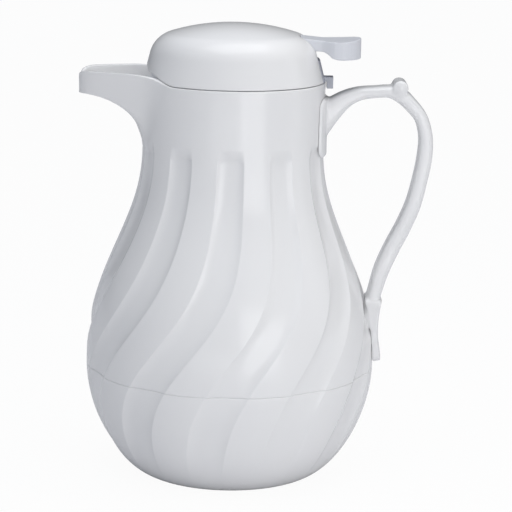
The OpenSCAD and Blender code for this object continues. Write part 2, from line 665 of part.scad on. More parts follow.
module handle() {
    color(white) difference() {
        union() {
            difference() {
                grip();
                spun(concat([[0, seam_z]],
                    [for (z = zs(seam_z, rim_z, 30)) [body_r(z) + neck_plate_t / 2, z]], [[0, rim_z]]));
            }
            rod_y(-thumb_rest_half_w, thumb_rest_half_w, grip_reach - thumb_rest_inset,
                grip_top_z + thumb_rest_rise, thumb_rest_r);
            neck_plate();
            foot_plate();
        }
        handle_screw_holes(fit);
    }
}

// ---- lid ----
dome_r = rim_r - dome_inset;
dome_low_z = rim_z + dome_gap;
dome_top_z = dome_low_z + dome_h;
plate_low_z = mouth_top_z + plate_lift;
plate_top_z = plate_low_z + plate_t;
upstand_r = dome_r - dome_wall - upstand_gap;
pivot_z = plate_top_z + pivot_lift;
tail_top_z = pivot_z + lever_rise;
crown_z = dome_top_z - dome_crown_r;
// centre of the shoulder's arc: its distance inside the leaning side and inside the crown are both known
side_d = dome_r * cos(dome_lean) + dome_low_z * sin(dome_lean) - dome_shoulder_r;
side_b = -sin(dome_lean) * side_d * cos(dome_lean) + cos(dome_lean) * (side_d * sin(dome_lean) - crown_z);
side_s = -side_b + sqrt(side_b * side_b + pow(dome_crown_r - dome_shoulder_r, 2)
    - pow(side_d * cos(dome_lean), 2) - pow(side_d * sin(dome_lean) - crown_z, 2));
shoulder_c = [side_d * cos(dome_lean) - side_s * sin(dome_lean),
    side_d * sin(dome_lean) + side_s * cos(dome_lean)];
shoulder_a = atan2(shoulder_c[1] - crown_z, shoulder_c[0]);
function dome_outline(off) = concat([[0, dome_low_z], [dome_r - off / cos(dome_lean), dome_low_z]],
    [for (a = zs(dome_lean, shoulder_a, 8)) shoulder_c + polar(dome_shoulder_r - off, a)],
    [for (a = zs(shoulder_a + 3, 90, 6)) [0, crown_z] + polar(dome_crown_r - off, a)]);
dome_screw_angles = [60, 130, 230, 300];
stopper_screw_angles = [60, 180, 300];
slot_half_w = tail_half_w + slot_gap;
ear_in_y = hub_half_w + ear_gap;

module at_ring(angles, r) { for (a = angles) rotate([0, 0, a]) translate([r, 0, 0]) children(); }

module lid_dome() {
    color(white) difference() {
        union() {
            difference() {
                spun(dome_outline(0));
                difference() {
                    translate([0, 0, -0.01]) spun(dome_outline(dome_wall));
                    at_ring(dome_screw_angles, dome_screw_ring_r)
                        translate([0, 0, dome_low_z]) cylinder(r = dome_post_r, h = dome_h);
                }
            }
            at_ring(dome_screw_angles, dome_screw_ring_r)
                translate([0, 0, plate_top_z]) cylinder(r = dome_post_r, h = dome_low_z - plate_top_z + 1);
        }
        arch_cut();
        block([slot_x, dome_r + 5], [-slot_half_w, slot_half_w], [plate_low_z, dome_top_z]);
        at_ring(dome_screw_angles, dome_screw_ring_r)
            translate([0, 0, plate_top_z - cut]) cylinder(r = lid_screw_r + fit, h = lid_screw_l + cut);
    }
}
arch_reach_a = 54;
function arch_z(s) = max(top_z(s) + dome_gap,
    abs(s) < arch_angle ? dome_low_z + arch_h * cos(90 * s / arch_angle) : dome_low_z);
module arch_cut() {
    translate([-dome_r / 2, 0, 0]) rotate([90, 0, -90]) linear_extrude(height = dome_r)
        polygon(concat([for (s = [-arch_reach_a:3:arch_reach_a]) [dome_r * sin(s), arch_z(s)]],
            [[dome_r * sin(arch_reach_a), dome_low_z - cut],
             [-dome_r * sin(arch_reach_a), dome_low_z - cut]]));
}
module lid_base() {
    color(pale) difference() {
        union() {
            tube(inner_r(plate_low_z) - plate_gap, bush_r + fit, plate_low_z, plate_top_z);
            tube(bush_r + 3, bush_r + fit, plate_low_z - 2, plate_top_z + 3);
            difference() {
                tube(upstand_r, upstand_r - upstand_t, plate_top_z - 0.5, plate_top_z + splash_h);
                block([-upstand_r * cos(arch_reach_a), upstand_r + cut], [-upstand_r - cut, upstand_r + cut],
                    [plate_top_z + upstand_h, plate_top_z + splash_h + cut]);
                block([upstand_r - catch_foot_l - cut, upstand_r + cut], [-catch_half_w, catch_half_w],
                    [plate_top_z, plate_top_z + upstand_h + cut]);
            }
            for (m = [0, 1]) mirror([0, m, 0]) ear();
        }
        rod_y(-pin_half_l - cut, pin_half_l + cut, pivot_x, pivot_z, pin_r + fit);
        at_ring(dome_screw_angles, dome_screw_ring_r)
            translate([0, 0, plate_low_z - cut])
                cylinder(r = lid_screw_r + screw_hole_gap, h = plate_t + 2 * cut);
        at_ring(stopper_screw_angles, stopper_screw_ring_r)
            translate([0, 0, plate_low_z - cut])
                cylinder(r = lid_screw_r + screw_hole_gap, h = plate_t + 2 * cut);
    }
}
module ear() {
    block([pivot_x - hub_r, pivot_x + hub_r], [ear_in_y, ear_in_y + ear_t], [plate_top_z - 0.5, pivot_z]);
    rod_y(ear_in_y, ear_in_y + ear_t, pivot_x, pivot_z, hub_r);
}
module lid_catch() {
    color("#b8bac0") union() {
        intersection() {
            difference() {
                spun(dome_outline(0));
                translate([0, 0, -0.01]) spun(dome_outline(dome_wall));
            }
            block([slot_x, dome_r + 5], [-catch_half_w, catch_half_w], [dome_low_z, dome_low_z + catch_h]);
        }
        foot_x = sqrt(pow(inner_r(rim_z) - plate_gap, 2) - catch_half_w * catch_half_w);
        block([upstand_r - catch_foot_l, foot_x], [-catch_half_w + 0.4, catch_half_w - 0.4],
            [plate_top_z, dome_low_z + 2]);
        lug_z = rim_z + lug_gap;
        block([dome_r - dome_wall, rim_r + lug_reach], [-lug_half_w, lug_half_w], [lug_z, lug_z + lug_t]);
        block([rim_r + lug_gap, rim_r + lug_reach], [-lug_half_w, lug_half_w],
            [rim_z - lug_drop, lug_z + lug_t]);
    }
}
module dome_screws() {
    color(steel) at_ring(dome_screw_angles, dome_screw_ring_r) union() {
        translate([0, 0, plate_low_z - lid_screw_head_h])
            cylinder(r = lid_screw_head_r, h = lid_screw_head_h);
        translate([0, 0, plate_low_z - 0.01]) cylinder(r = lid_screw_r, h = lid_screw_l);
    }
}

// ---- stopper ----
stopper_r = mouth_r - stopper_gap;
stopper_low_z = mouth_top_z - stopper_depth;
seat_z = stopper_low_z + stopper_floor_t;
gasket_low_z = stopper_low_z + 4;
stopper_boss_h = lid_screw_l + 5;
window_z = mouth_top_z + stopper_flange_t + 0.2;
window_angles = [100, 195];
window_span = 65;

module stopper_cup() {
    color(white) difference() {
        union() {
            difference() {
                translate([0, 0, stopper_low_z]) cylinder(r = stopper_r, h = plate_low_z - stopper_low_z);
                translate([0, 0, seat_z]) cylinder(r = stopper_r - stopper_wall, h = plate_low_z);
                tube(stopper_r + cut, stopper_r - gasket_groove, gasket_low_z, gasket_low_z + gasket_h);
            }
            tube(flange_r, stopper_r - 0.5, mouth_top_z, mouth_top_z + stopper_flange_t);
            at_ring(stopper_screw_angles, stopper_screw_ring_r)
                translate([0, 0, plate_low_z - stopper_boss_h])
                    cylinder(r = stopper_boss_r, h = stopper_boss_h);
        }
        translate([0, 0, stopper_low_z - cut]) cylinder(r = port_r, h = stopper_floor_t + 2 * cut);
        for (a = window_angles) sector(a, a + window_span, [[stopper_r - stopper_wall - 1.5, window_z],
            [stopper_r + cut, window_z], [stopper_r + cut, window_z + window_h],
            [stopper_r - stopper_wall - 1.5, window_z + window_h]]);
        at_ring(stopper_screw_angles, stopper_screw_ring_r)
            translate([0, 0, plate_low_z - lid_screw_l]) cylinder(r = lid_screw_r + fit, h = lid_screw_l + cut);
    }
}
module stopper_gasket() {
    color(rubber) tube(mouth_r - gasket_gap, stopper_r - gasket_groove + fit, gasket_low_z + 0.05,
        gasket_low_z + gasket_h - 0.05);
}
module stopper_screws() {
    color(steel) at_ring(stopper_screw_angles, stopper_screw_ring_r) union() {
        translate([0, 0, plate_top_z]) cylinder(r = lid_screw_head_r, h = lid_screw_head_h);
        translate([0, 0, plate_top_z - lid_screw_l]) cylinder(r = lid_screw_r, h = lid_screw_l + 0.01);
    }
}

// ---- valve ----
disc_z = seat_z + seal_gap + seal_t;
hub_top_z = disc_z + disc_t + disc_hub_h;
bush_low_z = plate_low_z - 2 - bush_flange_t;
cap_z = pivot_z - 0.5 + fork_r + cap_gap;
stem_low_z = disc_z - nut_t - 0.6;
stem_seal_r = 0.75;
stem_seal_z = bush_low_z + 4.4;

module stem_guide() {
    g = stem_r + running_gap;
    color(pale) spun([[g, bush_low_z], [bush_flange_r, bush_low_z], [bush_flange_r, plate_low_z - 2],
        [bush_r, plate_low_z - 2], [bush_r, bush_low_z + bush_h], [g, bush_low_z + bush_h],
        [g, stem_seal_z + stem_seal_r + 0.1], [g + 2 * stem_seal_r + 0.1, stem_seal_z + stem_seal_r + 0.1],
        [g + 2 * stem_seal_r + 0.1, stem_seal_z - stem_seal_r - 0.1], [g, stem_seal_z - stem_seal_r - 0.1]]);
}
module stem_seal() {
    color(rubber) rotate_extrude() translate([stem_r + running_gap + stem_seal_r, stem_seal_z])
        circle(r = stem_seal_r);
}
module valve_stem() {
    color(pale) translate([0, 0, stem_low_z]) cylinder(r = stem_r, h = cap_z + cap_t - stem_low_z);
}
module stem_cap() { color(pale) tube(cap_r, stem_r + fit, cap_z, cap_z + cap_t); }
module valve_disc() {
    color(pale) union() {
        tube(disc_r, stem_r + fit, disc_z, disc_z + disc_t);
        tube(disc_hub_r, stem_r + fit, disc_z + disc_t - 0.01, hub_top_z);
    }
}
module valve_seal() { color(rubber) tube(disc_r - 0.6, port_r + 0.6, seat_z + seal_gap, disc_z); }
module stem_nut() {
    color(steel) difference() {
        translate([0, 0, disc_z - nut_t]) cylinder(r = nut_r, h = nut_t, $fn = 6);
        translate([0, 0, disc_z - nut_t - cut]) cylinder(r = stem_r + fit, h = nut_t + 2 * cut);
    }
}
coil_steps = 14;
coil_sides = 6;
module return_spring() {
    n = coil_sides;
    m = spring_turns * coil_steps;
    z0 = hub_top_z + spring_wire_r + 0.05;
    z1 = bush_low_z - spring_wire_r - 0.05;
    color(steel) polyhedron([for (j = [0:m], i = [0:n - 1])
        let(r = spring_r + spring_wire_r * cos(360 * i / n))
        concat(polar(r, 360 * j / coil_steps), [z0 + (z1 - z0) * j / m + spring_wire_r * sin(360 * i / n)])],
        concat([for (j = [0:m - 1], i = [0:n - 1]) let(k = (i + 1) % n)
            [j * n + i, j * n + k, (j + 1) * n + k, (j + 1) * n + i]],
            [[for (i = [n - 1:-1:0]) i]], [[for (i = [0:n - 1]) m * n + i]]), convexity = 12);
}

// ---- lever ----
module lever_pin() {
    y = ear_in_y + ear_t;
    color(steel) union() {
        rod_y(-y - 0.01, pin_half_l, pivot_x, pivot_z, pin_r);
        rod_y(-y - 1.4, -y, pivot_x, pivot_z, pin_r + 1.1);
    }
}
function pad_top_z(x) =
    let(t = (x - slot_x) / (pad_reach - slot_x)) tail_top_z - pad_dip * sin(180 * pow(t, 1.3));
pad_low_z = tail_top_z - pad_t;
tail_low_z = tail_top_z - tail_t;
tail_l = 12;
pad_end_l = 11.4;
function plan_w(x) =
    tail_half_w + (pad_half_w - tail_half_w) * step01((x - slot_x - tail_l) / (pad_x - slot_x - tail_l));
plan_side = concat([for (x = zs(pivot_x - 3, pad_reach - pad_end_l, 16)) [x, plan_w(x)]],
    [for (a = [80:-10:10]) [pad_reach - pad_end_l + pad_end_l * cos(a), pad_half_w * sin(a)]]);
module pad_plan() {
    polygon(concat(plan_side, [[pad_reach, 0]],
        [for (i = [len(plan_side) - 1:-1:0]) [plan_side[i][0], -plan_side[i][1]]]));
}
module lever_side() {
    polygon(concat([[pivot_x, pivot_z - hub_r], [slot_x + 0.5, tail_low_z - 2.2],
        [pad_x - pad_curve_l, tail_low_z], [pad_x - 0.62 * pad_curve_l, tail_low_z - 0.3],
        [pad_x - 0.38 * pad_curve_l, tail_low_z - 1.6], [pad_x - 0.16 * pad_curve_l, pad_low_z + 1],
        [pad_x + 0.19 * pad_curve_l, pad_low_z], [pad_reach, pad_low_z]],
        [for (x = zs(pad_reach, slot_x + 1.5, 14)) [x, pad_top_z(x)]],
        [[slot_x + 0.6, tail_top_z - 0.8], [slot_x + 0.4, tail_top_z - 4], [pivot_x, pivot_z + hub_r]]));
}
module thumb_lever() {
    color("#d8d9dc") difference() {
        union() {
            intersection() {
                rotate([90, 0, 0]) translate([0, 0, -pad_half_w - cut])
                    linear_extrude(height = 2 * (pad_half_w + cut)) lever_side();
                translate([0, 0, pad_low_z - 20]) linear_extrude(height = 40) pad_plan();
            }
            rod_y(-hub_half_w, hub_half_w, pivot_x, pivot_z, hub_r);
            block([0, pivot_x], [-arm_half_w, arm_half_w], [pivot_z - arm_h / 2, pivot_z + arm_h / 2 - 1]);
            rod_y(-arm_half_w, arm_half_w, 0, pivot_z - 0.5, fork_r);
        }
        rod_y(-hub_half_w - cut, hub_half_w + cut, pivot_x, pivot_z, pin_r + running_gap);
        block([-fork_r - cut, cap_r + 1], [-stem_r - fork_gap, stem_r + fork_gap],
            [pivot_z - fork_r - 2, pivot_z + fork_r + 2]);
        intersection() {
            translate([0, 0, pad_low_z - cut]) linear_extrude(height = pad_t - pad_wall - pad_dip + cut)
                offset(delta = -pad_wall) pad_plan();
            block([pad_x - 2, pad_reach], [-pad_half_w, pad_half_w], [pad_low_z - cut, tail_top_z]);
        }
    }
}

lower_bowl();
upper_shell();
neck_collar();
inner_liner();
neck_gasket();
foam_insulation();
foam_fill_plug();
handle();
handle_screws();
lid_base();
lid_dome();
lid_catch();
dome_screws();
stopper_cup();
stopper_gasket();
stopper_screws();
stem_guide();
stem_seal();
lever_pin();
thumb_lever();
valve_stem();
stem_cap();
valve_disc();
valve_seal();
stem_nut();
return_spring();
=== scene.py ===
import bmesh
import bpy
import math
from mathutils import Matrix, Vector


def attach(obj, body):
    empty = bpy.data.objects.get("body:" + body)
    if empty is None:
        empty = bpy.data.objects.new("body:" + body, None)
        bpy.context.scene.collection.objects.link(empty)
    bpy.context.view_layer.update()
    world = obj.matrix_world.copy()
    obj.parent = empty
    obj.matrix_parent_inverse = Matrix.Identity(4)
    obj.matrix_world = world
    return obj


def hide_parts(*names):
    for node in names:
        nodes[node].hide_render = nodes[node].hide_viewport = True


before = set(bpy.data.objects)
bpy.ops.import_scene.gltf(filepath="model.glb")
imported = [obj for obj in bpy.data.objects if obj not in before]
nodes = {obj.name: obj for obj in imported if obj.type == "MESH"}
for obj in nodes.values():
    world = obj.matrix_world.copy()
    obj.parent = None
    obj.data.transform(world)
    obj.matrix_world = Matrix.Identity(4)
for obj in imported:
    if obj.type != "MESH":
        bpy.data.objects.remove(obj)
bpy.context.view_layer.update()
mm = 0.001
print("frame loaded:", len(nodes), "nodes")

# ---- curves shared by several pieces, in millimetres and degrees ----


def smoothStep(t):
    t = min(max(t, 0), 1)
    return t * t * (3 - 2 * t)


def smoothMin(a, b, k):
    h = max(k - abs(a - b), 0) / k
    return min(a, b) - h * h * k / 4


def smoothMax(a, b, k):
    return -smoothMin(-a, -b, k)


def spread(a, b, count):
    return [a + (b - a) * i / count for i in range(count + 1)]


def wrapAngle(a):
    return a - 360 * round(a / 360)


def onCircle(r, a, z):
    return (r * math.cos(math.radians(a)), r * math.sin(math.radians(a)), z)


body = {
    "footR": 50, "bellyR": 85.3, "bellyZ": 64, "neckR": 52.9, "neckZ": 200, "rimR": 53.4, "rimZ": 233.6,
    "bowlRise": 1.75, "bowlRound": 1.55,  # exponents of the curve from the foot up to the belly
    "shoulderLow": 2.4, "shoulderHigh": 3,  # exponents of the curve from the belly up to the neck
    "wall": 2, "seamZ": 65, "seamEdge": 0.45,  # the two shells' edges are rounded, which leaves a fine groove
    "tongueHeight": 6, "tongueWall": 1.6, "tongueGap": 0.4,
    "footRecess": 1.5, "footRing": 8, "footEdge": 0.4, "recessEdge": 0.6, "fillHoleR": 9,
    "galleryZ": 219.5,  # floor of the ring channel inside the neck
}
flute = {
    "count": 11, "depth": 2.2, "halfAngle": 8.2, "phase": -90.2,
    "twist": 44, "turnZ": 87, "turnLength": 21,  # hardly any turn in the neck, most of it over the belly
    "topZ": 197.2, "endHeight": 5, "lowZ": 8, "fadeHeight": 30,
}
spout = {
    "reach": 90, "rootZ": 194.5, "lowZ": 225.3, "sideWidth": 48.4, "taper": 0.372, "draft": 0.33,
    "rise": 5.4, "riseAngle": 52, "riseFade": 30, "lipDip": 3.6, "lipAngle": 11,
    "sideAngle": 75, "cornerBlend": 12, "keelBlend": 3,
    "rootBlend": 6, "rootBlendHeight": 12, "leastBlend": 0.01,
    "wall": 2.2, "wallSlant": 1.07, "channelAngle": 60, "channelBlend": 1.5, "rimEdge": 0.9,
}


def bodyRadius(z):
    b = body
    if z <= b["bellyZ"]:
        out = (1 - (1 - max(z, 0) / b["bellyZ"]) ** b["bowlRise"]) ** (1 / b["bowlRound"])
        return b["footR"] + (b["bellyR"] - b["footR"]) * out
    if z < b["neckZ"]:
        t = ((z - b["bellyZ"]) / (b["neckZ"] - b["bellyZ"])) ** b["shoulderLow"]
        return b["bellyR"] - (b["bellyR"] - b["neckR"]) * (1 - (1 - t) ** b["shoulderHigh"])
    return b["neckR"] + (b["rimR"] - b["neckR"]) * ((z - b["neckZ"]) / (b["rimZ"] - b["neckZ"])) ** 2


def fluteTurn(z):
    return flute["twist"] / (1 + math.exp((z - flute["turnZ"]) / flute["turnLength"]))


def fluteFade(z):
    f = flute
    t = min(max((z - f["topZ"] + f["endHeight"]) / f["endHeight"], 0), 1)
    return math.sqrt(1 - t * t) * smoothStep((z - f["lowZ"]) / f["fadeHeight"])


def keelHeight(r):
    t = (spout["reach"] - r) / (spout["reach"] - body["neckR"])
    return spout["rootZ"] + (spout["lowZ"] - spout["rootZ"]) * math.sqrt(max(1 - t * t, 0))


def keelRadius(z):
    t = max((z - spout["rootZ"]) / (spout["lowZ"] - spout["rootZ"]), 0)
    if t >= 1:
        return 2 * spout["reach"]
    return spout["reach"] - (spout["reach"] - body["neckR"]) * math.sqrt(1 - t * t)


def spoutRadius(s, z, wall):
    if abs(s) > spout["sideAngle"]:
        return 0
    a = math.radians(abs(s))
    top = body["rimZ"] + spout["rise"]
    side = spout["sideWidth"] - wall * spout["wallSlant"] - spout["draft"] * max(top - z, 0)
    side /= math.sin(a) + spout["taper"] * math.cos(a)
    beak = smoothMin(side, spout["reach"] - wall, spout["cornerBlend"])
    return smoothMin(beak, keelRadius(z - wall), spout["keelBlend"])


def rimHeight(s):
    rise = spout["rise"] * smoothStep((spout["riseAngle"] - abs(s)) / spout["riseFade"])
    return body["rimZ"] + rise - spout["lipDip"] * (1 - smoothStep(abs(s) / spout["lipAngle"]))


def outerRadius(a, z):
    r = bodyRadius(min(z, body["rimZ"]))
    if z <= spout["rootZ"]:
        return r
    grown = smoothStep((z - spout["rootZ"]) / spout["rootBlendHeight"])
    blend = spout["rootBlend"] * grown + spout["leastBlend"]
    return smoothMax(r, spoutRadius(wrapAngle(a - 180), z, 0), blend)


def wallRadius(z):
    return bodyRadius(min(z, body["rimZ"])) - body["wall"] - flute["depth"] * fluteFade(z)


def channelRadius(a, z):
    s = wrapAngle(a - 180)
    channel = spoutRadius(s, z, spout["wall"]) if abs(s) < spout["channelAngle"] else 0
    return smoothMax(wallRadius(z), channel, spout["channelBlend"])


# ---- meshes ----
def linkObject(name, data):
    obj = bpy.data.objects.new(name, data)
    bpy.context.scene.collection.objects.link(obj)
    return obj


def newObject(name, verts, faces):
    mesh = bpy.data.meshes.new(name)
    mesh.from_pydata([Vector(v) * mm for v in verts], [], faces)
    mesh.validate()
    return linkObject(name, mesh)


def objectFromShape(name, shape):
    mesh = bpy.data.meshes.new(name)
    shape.to_mesh(mesh)
    shape.free()
    return linkObject(name, mesh)


def ringsMesh(name, rings, loop=False, startTip=None, endTip=None):
    count = len(rings[0])
    verts = [p for ring in rings for p in ring]
    faces = []
    for j in range(len(rings) if loop else len(rings) - 1):
        here, above = j * count, (j + 1) % len(rings) * count
        for i in range(count):
            k = (i + 1) % count
            faces.append((here + i, here + k, above + k, above + i))
    for tip, ring, turned in ((startTip, 0, True), (endTip, len(rings) - 1, False)):
        if tip is not None:
            verts.append(tip)
            for i in range(count):
                edge = (ring * count + i, ring * count + (i + 1) % count)
                faces.append((*(edge[::-1] if turned else edge), len(verts) - 1))
    return newObject(name, verts, faces)


def applyModifiers(obj):
    graph = bpy.context.evaluated_depsgraph_get()
    mesh = bpy.data.meshes.new_from_object(obj.evaluated_get(graph))
    obj.modifiers.clear()
    obj.data = mesh


def fuse(obj, voxel, softening):
    remesh = obj.modifiers.new("fuse", "REMESH")
    remesh.mode = "VOXEL"
    remesh.voxel_size = voxel * mm
    soften = obj.modifiers.new("soften", "SMOOTH")
    soften.factor, soften.iterations = 0.5, softening
    applyModifiers(obj)


def smoothShade(obj, angle):
    obj.data.shade_smooth()
    obj.data.set_sharp_from_angle(angle=math.radians(angle))


def wearPiece(obj, bodyName, nodeName, material):
    obj.data.materials.clear()
    obj.data.materials.append(material)
    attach(obj, bodyName)
    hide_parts(nodeName)


# ---- node helpers and colours ----
def addNode(tree, kind, inputs=None, **settings):
    node = tree.nodes.new(kind)
    for key, value in settings.items():
        setattr(node, key, value)
    for key, value in (inputs or {}).items():
        if isinstance(value, bpy.types.NodeSocket):
            tree.links.new(value, node.inputs[key])
        else:
            node.inputs[key].default_value = value
    return node


def maths(tree, operation, *values):
    return addNode(tree, "ShaderNodeMath", dict(enumerate(values)), operation=operation).outputs[0]


def ramp(tree, value, span, ends):
    inputs = {"Value": value, "From Min": span[0], "From Max": span[1], "To Min": ends[0], "To Max": ends[1]}
    return addNode(tree, "ShaderNodeMapRange", inputs).outputs[0]


def blendColours(tree, share, first, second):
    inputs = {0: share, 6: linear(first), 7: linear(second)}
    return addNode(tree, "ShaderNodeMix", inputs, data_type="RGBA").outputs[2]


def noise(tree, place, scale, detail):
    return addNode(tree, "ShaderNodeTexNoise", {"Vector": place, "Scale": scale, "Detail": detail}).outputs[0]


def linear(hexColour):
    parts = [int(hexColour[i:i + 2], 16) / 255 for i in (1, 3, 5)]
    return [c / 12.92 if c <= 0.04045 else ((c + 0.055) / 1.055) ** 2.4 for c in parts] + [1]


def newMaterial(name):
    material = bpy.data.materials.new(name)
    material.use_nodes = True
    material.node_tree.nodes.clear()
    return material, material.node_tree


def finishMaterial(tree, shader):
    addNode(tree, "ShaderNodeOutputMaterial", {"Surface": shader.outputs[0]})


def mouldedPlastic(name, colour, shade, roughness, grain=0.02, tone=40):
    material, tree = newMaterial(name)
    place = addNode(tree, "ShaderNodeTexCoord").outputs["Object"]
    # slow change of tone, as pigment and wall thickness vary over a large moulding
    cloud = noise(tree, place, 1000 / tone, 2.0)
    # fine grain of the polished mould, about 1 mm across, that softens highlights
    fine = noise(tree, place, 900.0, 3.0)
    bump = addNode(tree, "ShaderNodeBump", {"Height": fine, "Strength": grain, "Distance": 0.0002})
    finishMaterial(tree, addNode(tree, "ShaderNodeBsdfPrincipled", {
        "Base Color": blendColours(tree, cloud, colour, shade),
        "Roughness": ramp(tree, cloud, (0, 1), (roughness - 0.03, roughness + 0.04)),
        "IOR": 1.49, "Normal": bump.outputs[0], "Specular IOR Level": 0.5}))
    return material


def brushedSteel():
    material, tree = newMaterial("stainlessSteel")
    place = addNode(tree, "ShaderNodeTexCoord").outputs["Object"]
    # turning marks run round each shank, so the pattern is squeezed along Z
    squeeze = addNode(tree, "ShaderNodeMapping", {"Vector": place, "Scale": (1, 1, 12)})
    marks = noise(tree, squeeze.outputs[0], 600.0, 2.0)
    bump = addNode(tree, "ShaderNodeBump", {"Height": marks, "Strength": 0.1, "Distance": 0.0001})
    finishMaterial(tree, addNode(tree, "ShaderNodeBsdfPrincipled", {
        "Base Color": linear("#c3c5c8"), "Metallic": 1.0,
        "Roughness": ramp(tree, marks, (0, 1), (0.22, 0.4)), "Normal": bump.outputs[0]}))
    return material


# glossy and almost neutral, the white of the outer mouldings
whitePolypropylene = mouldedPlastic("whiteGlossPolypropylene", "#ececec", "#e9e9ea", 0.17)
palePolypropylene = mouldedPlastic("palePolypropylene", "#e4e6ea", "#dfe1e6", 0.42)
# painted shade: the lever is the same white plastic as the shell, given a darker bluish grey for the shade it
# sits in
leverPaintedShade = mouldedPlastic("leverPaintedShade", "#dcdee4", "#d8dae0", 0.34)
# painted shade and painted reflection: the catch is white plastic, given a mid grey for the shadow and dark
# reflection on its side
catchPaintedShade = mouldedPlastic("catchPaintedShade", "#b6b9c2", "#b0b3bc", 0.4)
siliconeRubber = mouldedPlastic("siliconeRubber", "#c9c9c6", "#c2c2bf", 0.6, grain=0.05)
insulationFoam = mouldedPlastic("insulationFoam", "#efe3b8", "#e3d29c", 0.85, grain=0.5, tone=6)
stainlessSteel = brushedSteel()
print("materials made")

# ---- flute cutter: a Geometry Nodes tree that presses the twisted flutes into a plain body ----
fluteSteps = [  # name, operation, values: the names are sockets, sizes or earlier steps
    ("below", "SUBTRACT", "Top height", "z"), ("aboveTurn", "SUBTRACT", "z", "Turn height"),
    ("turnShare", "DIVIDE", "aboveTurn", "Turn length"), ("growth", "EXPONENT", "turnShare"),
    ("slowed", "ADD", "growth", 1), ("turn", "DIVIDE", "Twist", "slowed"),
    ("angle", "ARCTAN2", "y", "x"), ("straight", "ADD", "angle", "turn"),
    ("fromPhase", "SUBTRACT", "straight", "Phase"),
    ("pitch", "DIVIDE", 2 * math.pi, "Flute count"), ("halfPitch", "DIVIDE", "pitch", 2),
    ("minusHalf", "MULTIPLY", "halfPitch", -1), ("offset", "WRAP", "fromPhase", "halfPitch", "minusHalf"),
    ("over", "SUBTRACT", "End height", "below"), ("overShare", "DIVIDE", "over", "End height"),
    ("overLow", "MAXIMUM", "overShare", 0), ("overHigh", "MINIMUM", "overLow", 1),
    ("overSquare", "MULTIPLY", "overHigh", "overHigh"), ("roundOff", "SUBTRACT", 1, "overSquare"),
    ("end", "SQRT", "roundOff"), ("endSafe", "MAXIMUM", "end", 0.01),
    ("width", "MULTIPLY", "endSafe", "Half angle"), ("across", "DIVIDE", "offset", "width"),
    ("acrossSize", "ABSOLUTE", "across"), ("acrossCube", "POWER", "acrossSize", 3),
    ("hollow", "SUBTRACT", 1, "acrossCube"), ("hollowSafe", "MAXIMUM", "hollow", 0),
    ("aboveLow", "SUBTRACT", "z", "Low height"), ("fadeShare", "DIVIDE", "aboveLow", "Fade height"),
    ("fadeLow", "MAXIMUM", "fadeShare", 0), ("fadeHigh", "MINIMUM", "fadeLow", 1),
    ("fade", "SMOOTH_MIN", "fadeHigh", 1, 0.3),
    ("pressed", "MULTIPLY", "hollowSafe", "end"), ("faded", "MULTIPLY", "pressed", "fade"),
    ("deep", "MULTIPLY", "faded", "Depth"), ("carved", "MULTIPLY", "deep", "carve"),
    ("inwards", "MULTIPLY", "carved", -1),
]


def makeFluteCutter():
    f = flute
    tree = bpy.data.node_groups.new("fluteCutter", "GeometryNodeTree")
    face = tree.interface
    face.new_socket("Geometry", in_out="INPUT", socket_type="NodeSocketGeometry")
    sizes = {
        "Flute count": f["count"], "Depth": f["depth"] * mm, "Half angle": math.radians(f["halfAngle"]),
        "Twist": math.radians(f["twist"]), "Phase": math.radians(f["phase"]),
        "Turn height": f["turnZ"] * mm, "Turn length": f["turnLength"] * mm,
        "Top height": f["topZ"] * mm, "End height": f["endHeight"] * mm,
        "Low height": f["lowZ"] * mm, "Fade height": f["fadeHeight"] * mm,
    }
    for name, value in sizes.items():
        socket = face.new_socket(name, in_out="INPUT", socket_type="NodeSocketFloat")
        socket.default_value = value
    face.new_socket("Plastic", in_out="INPUT", socket_type="NodeSocketMaterial")
    face.new_socket("Geometry", in_out="OUTPUT", socket_type="NodeSocketGeometry")
    given = addNode(tree, "NodeGroupInput")
    point = addNode(tree, "ShaderNodeSeparateXYZ", {0: addNode(tree, "GeometryNodeInputPosition").outputs[0]})
    share = addNode(tree, "GeometryNodeInputNamedAttribute", {"Name": "carve"}, data_type="FLOAT")
    at = {name: given.outputs[name] for name in sizes}
    at.update(x=point.outputs[0], y=point.outputs[1], z=point.outputs[2], carve=share.outputs[0])
    for name, operation, *values in fluteSteps:
        at[name] = maths(tree, operation, *[at[v] if isinstance(v, str) else v for v in values])
    flat = addNode(tree, "ShaderNodeCombineXYZ", {"X": at["x"], "Y": at["y"]})
    outwards = addNode(tree, "ShaderNodeVectorMath", {0: flat.outputs[0]}, operation="NORMALIZE")
    push = addNode(tree, "ShaderNodeVectorMath", {0: outwards.outputs[0], "Scale": at["inwards"]},
                   operation="SCALE")
    moved = addNode(tree, "GeometryNodeSetPosition", {
        "Geometry": given.outputs["Geometry"], "Offset": push.outputs[0]})
    real = addNode(tree, "GeometryNodeRealizeInstances", {"Geometry": moved.outputs[0]})
    painted = addNode(tree, "GeometryNodeSetMaterial", {
        "Geometry": real.outputs[0], "Material": given.outputs["Plastic"]})
    addNode(tree, "NodeGroupOutput", {"Geometry": painted.outputs[0]})
    return tree


fluteCutter = makeFluteCutter()


def cutFlutes(obj, carve):
    data = obj.data.attributes.new("carve", "FLOAT", "POINT")
    data.data.foreach_set("value", carve)
    modifier = obj.modifiers.new("flutes", "NODES")
    modifier.node_group = fluteCutter
    for item in fluteCutter.interface.items_tree:
        if item.name == "Plastic":
            modifier[item.identifier] = whitePolypropylene
    applyModifiers(obj)
    obj.data.attributes.remove(obj.data.attributes["carve"])


def fluteColumns():
    pitch = 360 / flute["count"]
    # shares of a flute's half width, close together at its edge
    across = [0, 0.2, 0.4, 0.58, 0.74, 0.87, 0.95, 1, 1.05, 1.13, 1.26, 1.44, 1.64, 1.84]
    beside = {round(side * u * flute["halfAngle"], 6) for u in across for side in (-1, 1)}
    offsets = sorted(beside | {pitch / 2})
    return [flute["phase"] + k * pitch + offset for k in range(flute["count"]) for offset in offsets]


columns = fluteColumns()
